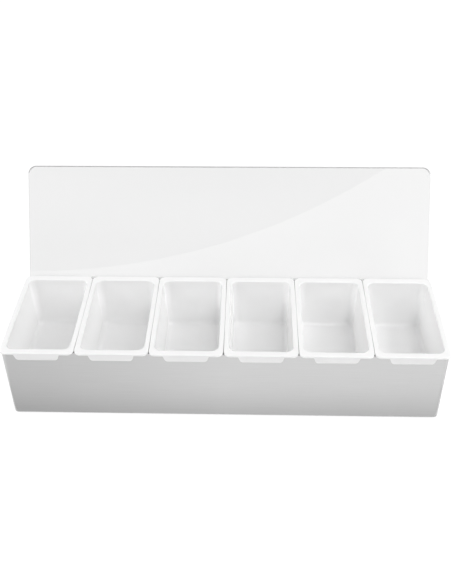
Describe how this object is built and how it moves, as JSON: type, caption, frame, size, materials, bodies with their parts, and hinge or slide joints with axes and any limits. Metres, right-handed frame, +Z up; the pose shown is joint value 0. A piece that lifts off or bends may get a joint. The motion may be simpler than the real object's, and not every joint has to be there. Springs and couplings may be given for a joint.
{
  "type": "garnish tray",
  "caption": "Bar-top garnish tray: a row of white lift-out inserts in a brushed steel housing, under a clear flat lid hinged along the rear.",
  "frame": {"origin": "on the surface that the feet stand on, below the middle of the row of inserts", "axes": "+X along the row to the user's right, +Y to the rear where the hinge is, +Z up"},
  "size_m": [0.494, 0.2324, 0.1998],
  "materials": {
    "housing_steel": "satin, brushed along the row",
    "hinge_steel": "bright rolled steel",
    "white_plastic": "glossy moulded white",
    "clear_plastic": "clear, glossy",
    "foot_rubber": "matt black"
  },
  "bodies": {
    "base": {"wall_wrap": "housing_steel", "base_plate": "housing_steel", "hinge_rod": "hinge_steel", "hinge_bracket_left": "hinge_steel", "hinge_bracket_centre": "hinge_steel", "hinge_bracket_right": "hinge_steel", "rivets_left": "hinge_steel", "rivets_centre": "hinge_steel", "rivets_right": "hinge_steel", "rod_cap_left": "hinge_steel", "rod_cap_right": "hinge_steel", "foot_front_left": "foot_rubber", "foot_front_right": "foot_rubber", "foot_rear_left": "foot_rubber", "foot_rear_right": "foot_rubber"},
    "lid": {"lid": "clear_plastic"},
    "insert_1": {"insert_1": "white_plastic"},
    "insert_2": {"insert_2": "white_plastic"},
    "insert_3": {"insert_3": "white_plastic"},
    "insert_4": {"insert_4": "white_plastic"},
    "insert_5": {"insert_5": "white_plastic"},
    "insert_6": {"insert_6": "white_plastic"}
  },
  "joints": [
    {"name": "lid_hinge", "type": "hinge", "parent": "base", "child": "lid", "pos_m": [0, 0.0765, 0.0865], "axis": [-1, 0, 0], "range_deg": [-122, 0]},
    {"name": "insert_1_lift", "type": "slide", "parent": "base", "child": "insert_1", "axis": [0, 0, 1], "range_m": [0, 0.085]},
    {"name": "insert_2_lift", "type": "slide", "parent": "base", "child": "insert_2", "axis": [0, 0, 1], "range_m": [0, 0.085]},
    {"name": "insert_3_lift", "type": "slide", "parent": "base", "child": "insert_3", "axis": [0, 0, 1], "range_m": [0, 0.085]},
    {"name": "insert_4_lift", "type": "slide", "parent": "base", "child": "insert_4", "axis": [0, 0, 1], "range_m": [0, 0.085]},
    {"name": "insert_5_lift", "type": "slide", "parent": "base", "child": "insert_5", "axis": [0, 0, 1], "range_m": [0, 0.085]},
    {"name": "insert_6_lift", "type": "slide", "parent": "base", "child": "insert_6", "axis": [0, 0, 1], "range_m": [0, 0.085]}
  ]
}
